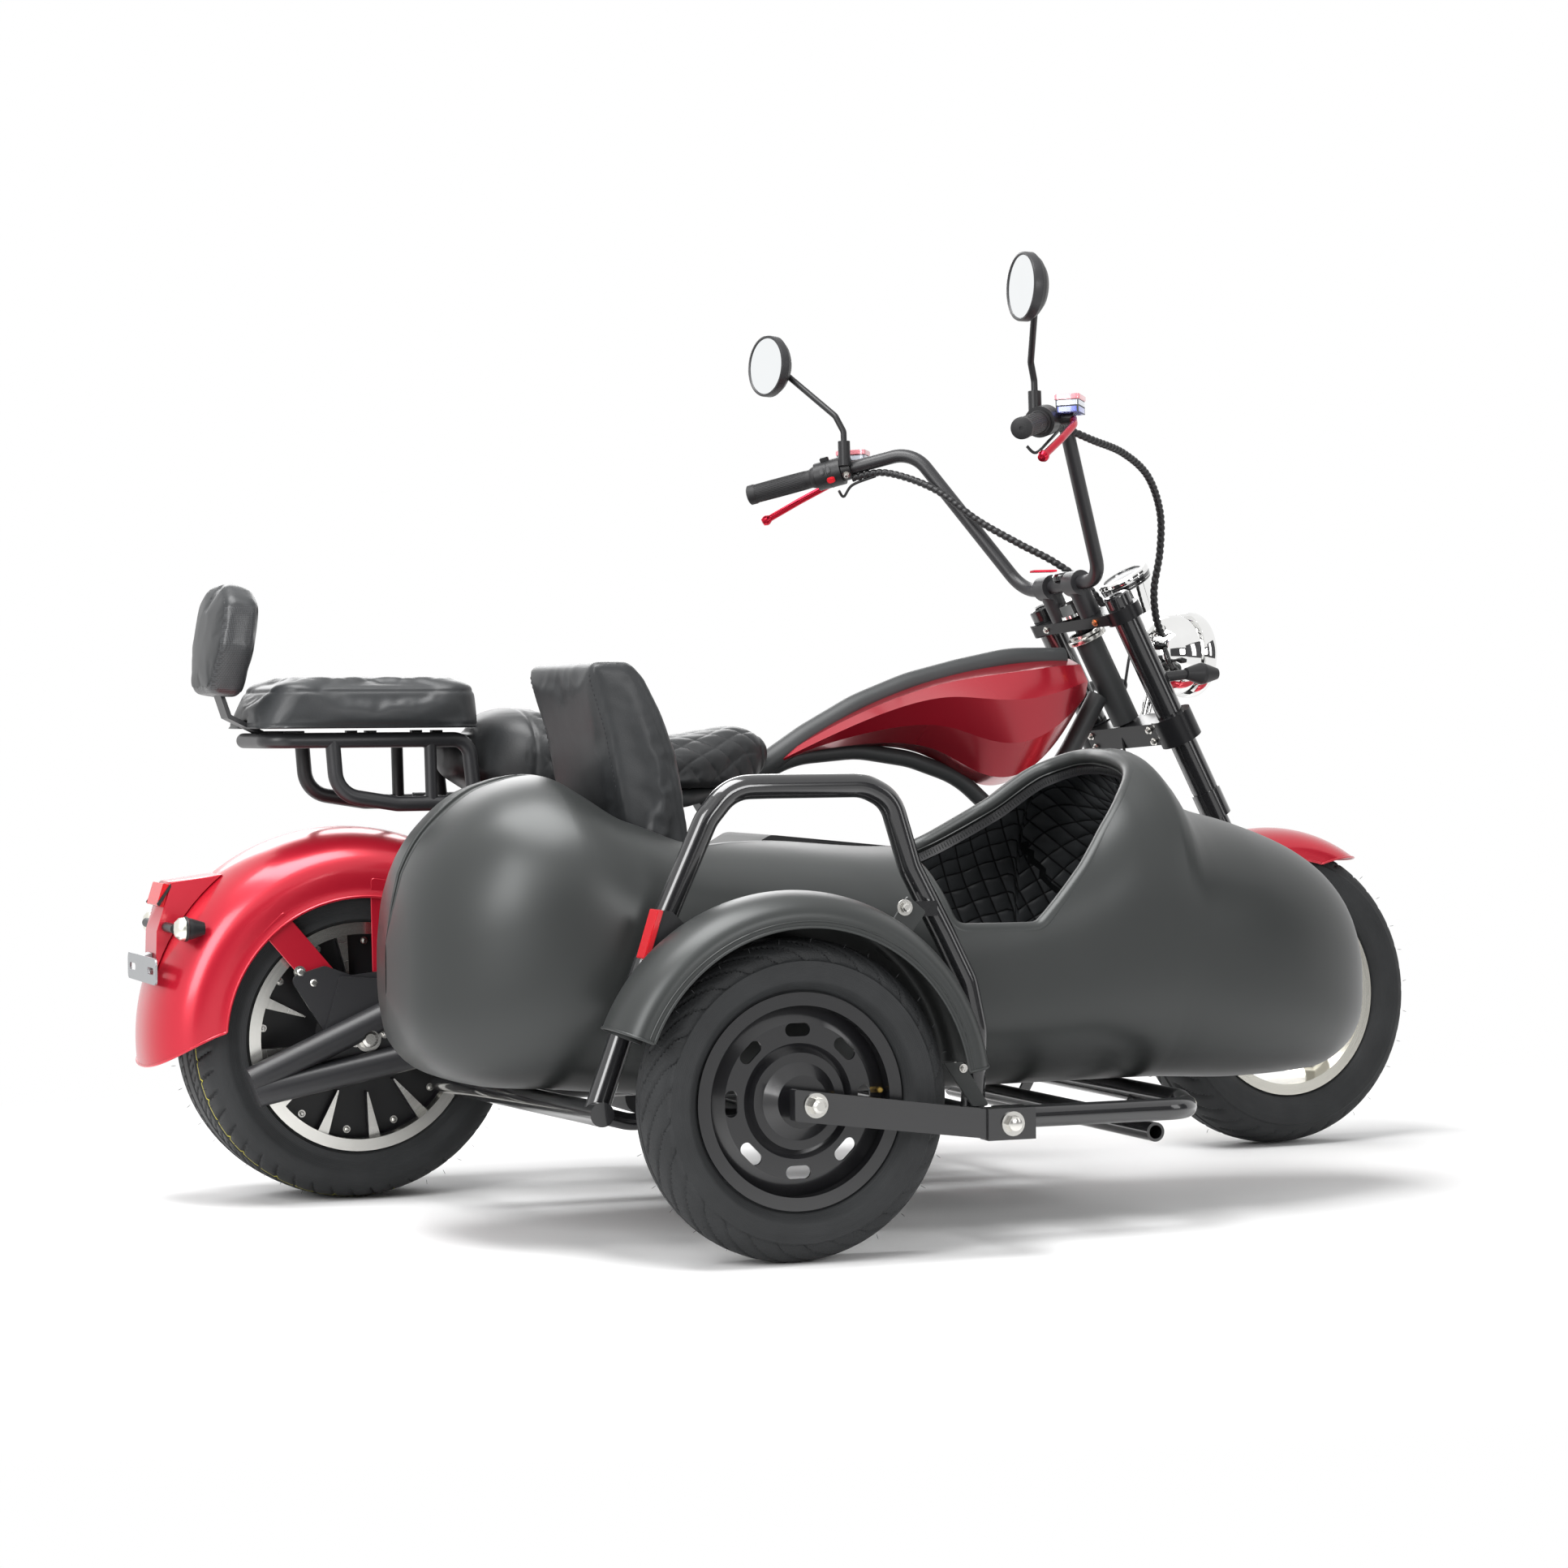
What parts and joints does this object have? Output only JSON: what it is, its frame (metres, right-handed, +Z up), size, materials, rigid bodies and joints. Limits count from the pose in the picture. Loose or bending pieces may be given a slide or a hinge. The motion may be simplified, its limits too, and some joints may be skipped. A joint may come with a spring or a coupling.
{
  "type": "sidecar motorcycle",
  "caption": "Electric cruiser motorcycle with high bars, candy red tank and fenders, and a dark grey hollow sidecar with quilted lining on its right.",
  "frame": {"origin": "middle of the box at floor level", "axes": "+X forward, +Y to the rider's left, +Z up"},
  "size_m": [2.0987, 1.4446, 1.3718],
  "materials": {
    "frame_paint": "matte black paint",
    "red_paint": "candy red satin paint",
    "gloss_black": "gloss black powder coat",
    "tub_paint": "satin dark grey gel coat",
    "fender_paint": "satin black paint",
    "wheel_paint": "satin black paint",
    "tyre_rubber": "black tyre rubber",
    "rim_metal": "brushed and clear coated",
    "chrome": "polished chrome",
    "fork_black": "gloss black paint",
    "steel": "zinc plated",
    "leather": "black vinyl leather",
    "lining": "quilted black leather",
    "black_plastic": "moulded black plastic",
    "grip_rubber": "moulded rubber",
    "lever_red": "red anodised",
    "lamp_red": "red lens",
    "clear_glass": "clear"
  },
  "bodies": {
    "chassis": {"backrest_pad": "leather", "battery_case": "black_plastic", "footboards": "black_plastic", "frame": "frame_paint", "hoop": "gloss_black", "lining": "lining", "plate_bracket": "steel", "rack": "frame_paint", "rack_pad": "leather", "rear_axle": "steel", "rear_fender": "red_paint", "rear_shocks": "steel", "rear_turn_lamps": "black_plastic", "reflector": "lamp_red", "saddle": "leather", "sidecar_backrest": "leather", "sidecar_fender": "fender_paint", "sidecar_frame": "gloss_black", "sidecar_seat": "leather", "swingarm": "frame_paint", "tail_lamp": "lamp_red", "tank": "red_paint", "trailing_arm": "gloss_black", "tub": "tub_paint"},
    "side_stand": {"side_stand": "frame_paint"},
    "steering": {"conduits": "black_plastic", "fork_clamps": "fork_black", "fork_legs": "fork_black", "front_axle": "steel", "front_caliper": "black_plastic", "front_fender": "red_paint", "front_turn_lamps": "black_plastic", "gauge_pod": "chrome", "grips": "grip_rubber", "handlebar": "frame_paint", "headlamp": "chrome", "headlamp_lens": "clear_glass", "levers": "lever_red", "mirrors": "black_plastic", "switchgear": "black_plastic"},
    "front_wheel": {"front_tyre": "tyre_rubber", "front_rim": "rim_metal"},
    "rear_wheel": {"rear_tyre": "tyre_rubber", "rear_rim": "rim_metal"},
    "sidecar_wheel": {"sidecar_tyre": "tyre_rubber", "sidecar_rim": "wheel_paint"}
  },
  "joints": [
    {"name": "steering", "type": "hinge", "parent": "chassis", "child": "steering", "pos_m": [0.8943, 0.2857, 0], "axis": [-0.454, 0, 0.891], "range_deg": [-45.16, 30.84]},
    {"name": "front_wheel_spin", "type": "hinge", "parent": "steering", "child": "front_wheel", "pos_m": [0.80356, 0.28951, 0.24492], "axis": [-0.1111, 0.9922, -0.0566], "continuous": true},
    {"name": "rear_wheel_spin", "type": "hinge", "parent": "chassis", "child": "rear_wheel", "pos_m": [-0.7457, 0.2857, 0.239], "axis": [0, 1, 0], "continuous": true},
    {"name": "sidecar_wheel_spin", "type": "hinge", "parent": "chassis", "child": "sidecar_wheel", "pos_m": [-0.3987, -0.6273, 0.208], "axis": [0, 1, 0], "continuous": true},
    {"name": "side_stand_hinge", "type": "hinge", "parent": "chassis", "child": "side_stand", "pos_m": [-0.2757, 0.4197, 0.14], "axis": [0, -1, 0], "range_deg": [0, 95]}
  ]
}
